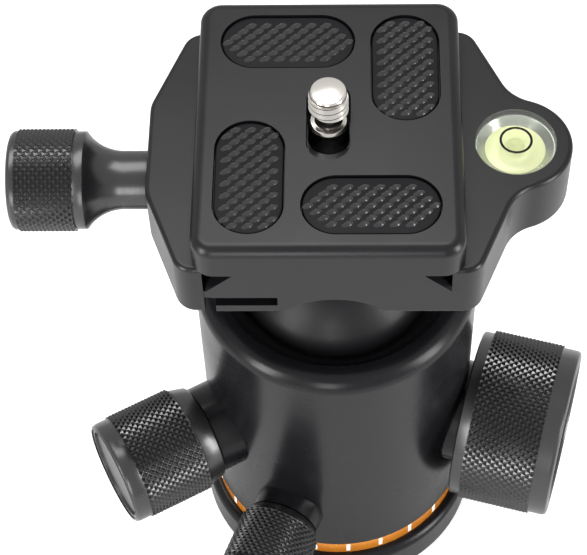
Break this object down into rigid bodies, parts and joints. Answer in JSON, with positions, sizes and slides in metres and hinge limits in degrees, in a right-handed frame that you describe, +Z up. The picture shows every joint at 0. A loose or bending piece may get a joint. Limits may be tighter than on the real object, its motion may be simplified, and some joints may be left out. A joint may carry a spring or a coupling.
{
  "type": "tripod ball head",
  "caption": "Tripod ball head with a screw-clamped camera plate, bubble level, tilting ball, panning base with a scale ring, and knurled lock, friction and pan knobs.",
  "frame": {"origin": "mouth of the tripod thread, in the middle of the base's bottom face", "axes": "+Z up the pan axis towards the camera plate; -Y is the front, and the plate clamp's knob points along -X at rest"},
  "size_m": [0.0989, 0.0674, 0.1168],
  "materials": {
    "black_metal": "satin black anodised, fine bead-blasted grain",
    "black_knurl": "satin black anodised, diamond knurled",
    "black_ball": "matt black anodised, fine texture",
    "black_plate": "satin black anodised, smooth",
    "rubber": "matt black rubber with raised nubs",
    "orange_ring": "orange anodised, white scale marks",
    "bright_steel": "nickel plated steel",
    "dark_steel": "blackened steel",
    "black_plastic": "matt black plastic",
    "level_rim": "silvery, satin",
    "level_liquid": "clear yellow-green liquid",
    "level_air": "air bubble",
    "level_print": "black printed ring",
    "level_glass": "clear, polished"
  },
  "bodies": {
    "base": {"base_plate": "black_metal", "tripod_bush": "bright_steel", "base_screws": "dark_steel", "pan_spindle": "bright_steel", "spindle_collar": "dark_steel", "pan_washer": "black_plastic", "scale_ring": "orange_ring"},
    "housing": {"housing": "black_metal", "ball_seat_ring": "black_metal"},
    "cup": {"ball_cup": "black_plastic"},
    "ball": {"ball": "black_ball"},
    "stem": {"ball_stem": "black_metal"},
    "lock_wedge": {"lock_wedge": "bright_steel"},
    "lock_knob": {"ball_lock_screw": "dark_steel", "ball_lock_knob": "black_knurl", "ball_lock_cap": "black_plate"},
    "friction_wedge": {"friction_wedge": "bright_steel"},
    "friction_knob": {"friction_screw": "dark_steel", "friction_knob": "black_knurl", "friction_cap": "black_plate"},
    "pan_lock_pad": {"pan_lock_pad": "black_plastic"},
    "pan_lock_knob": {"pan_lock_screw": "dark_steel", "pan_lock_knob": "black_knurl", "pan_lock_cap": "black_plate"},
    "clamp": {"clamp_body": "black_plate", "clamp_mount_screw": "dark_steel", "jaw_guide_pins": "bright_steel", "jaw_springs": "bright_steel", "level_cup": "level_rim", "level_fluid": "level_liquid", "level_bubble": "level_air", "level_target": "level_print", "level_lens": "level_glass"},
    "jaw": {"clamp_jaw": "black_plate"},
    "clamp_knob": {"clamp_screw": "dark_steel", "clamp_knob": "black_knurl"},
    "plate": {"camera_plate": "black_plate", "grip_pad_back": "rubber", "grip_pad_front": "rubber", "grip_pad_left": "rubber", "grip_pad_right": "rubber"},
    "keeper": {"screw_keeper": "dark_steel"},
    "camera_screw": {"camera_screw": "bright_steel"}
  },
  "joints": [
    {"name": "pan", "type": "hinge", "parent": "base", "child": "housing", "pos_m": [0, 0, 0.012], "axis": [0, 0, 1], "continuous": true},
    {"name": "side_tilt", "type": "hinge", "parent": "housing", "child": "ball", "pos_m": [0, 0, 0.063], "axis": [0, 1, 0], "range_deg": [-30, 30]},
    {"name": "fore_tilt", "type": "hinge", "parent": "ball", "child": "stem", "pos_m": [0, 0, 0.063], "axis": [1, 0, 0], "range_deg": [-90, 30]},
    {"name": "ball_spin", "type": "hinge", "parent": "stem", "child": "clamp", "pos_m": [0, 0, 0.0936], "axis": [0, 0, 1], "continuous": true},
    {"name": "lock_wedge_slide", "type": "slide", "parent": "housing", "child": "lock_wedge", "axis": [0.9655, -0.2605, 0], "range_m": [0, 0.0007499]},
    {"name": "lock_turn", "type": "hinge", "parent": "lock_wedge", "child": "lock_knob", "pos_m": [0, 0, 0.0322], "axis": [0.9655, -0.2605, 0], "range_deg": [0, 270]},
    {"name": "cup_drop", "type": "slide", "parent": "housing", "child": "cup", "axis": [0, 0, -1], "range_m": [0, 0.00075]},
    {"name": "friction_wedge_slide", "type": "slide", "parent": "housing", "child": "friction_wedge", "axis": [-0.8721, -0.4894, 0], "range_m": [0, 0.0005999]},
    {"name": "friction_turn", "type": "hinge", "parent": "friction_wedge", "child": "friction_knob", "pos_m": [0, 0, 0.0374], "axis": [-0.8721, -0.4894, 0], "range_deg": [0, 270]},
    {"name": "pan_pad_slide", "type": "slide", "parent": "housing", "child": "pan_lock_pad", "axis": [-0.3633, -0.9317, 0], "range_m": [0, 0.0006999]},
    {"name": "pan_lock_turn", "type": "hinge", "parent": "pan_lock_pad", "child": "pan_lock_knob", "pos_m": [0, 0, 0.0244], "axis": [-0.3633, -0.9317, 0], "range_deg": [0, 360]},
    {"name": "jaw_slide", "type": "slide", "parent": "clamp", "child": "jaw", "axis": [-1, 0, 0], "range_m": [0, 0.00249]},
    {"name": "clamp_turn", "type": "hinge", "parent": "jaw", "child": "clamp_knob", "pos_m": [-0.03, 0, 0.0965], "axis": [-1, 0, 0], "range_deg": [0, 1280]},
    {"name": "plate_slide", "type": "slide", "parent": "clamp", "child": "plate", "axis": [0, 1, 0], "range_m": [-0.055, 0.055]},
    {"name": "screw_slide", "type": "slide", "parent": "plate", "child": "keeper", "axis": [0, 1, 0], "range_m": [-0.0064, 0.0022]},
    {"name": "camera_screw_turn", "type": "hinge", "parent": "keeper", "child": "camera_screw", "pos_m": [-0.0009, 0.0021, 0.112], "axis": [0, 0, 1], "continuous": true}
  ],
  "couplings": [
    {"joint": "lock_turn", "follows": "lock_wedge_slide", "rad_per_m": 6283.2},
    {"joint": "cup_drop", "follows": "lock_wedge_slide", "ratio": 1},
    {"joint": "friction_turn", "follows": "friction_wedge_slide", "rad_per_m": 7854},
    {"joint": "pan_lock_turn", "follows": "pan_pad_slide", "rad_per_m": 8976},
    {"joint": "clamp_turn", "follows": "jaw_slide", "rad_per_m": 8976}
  ]
}
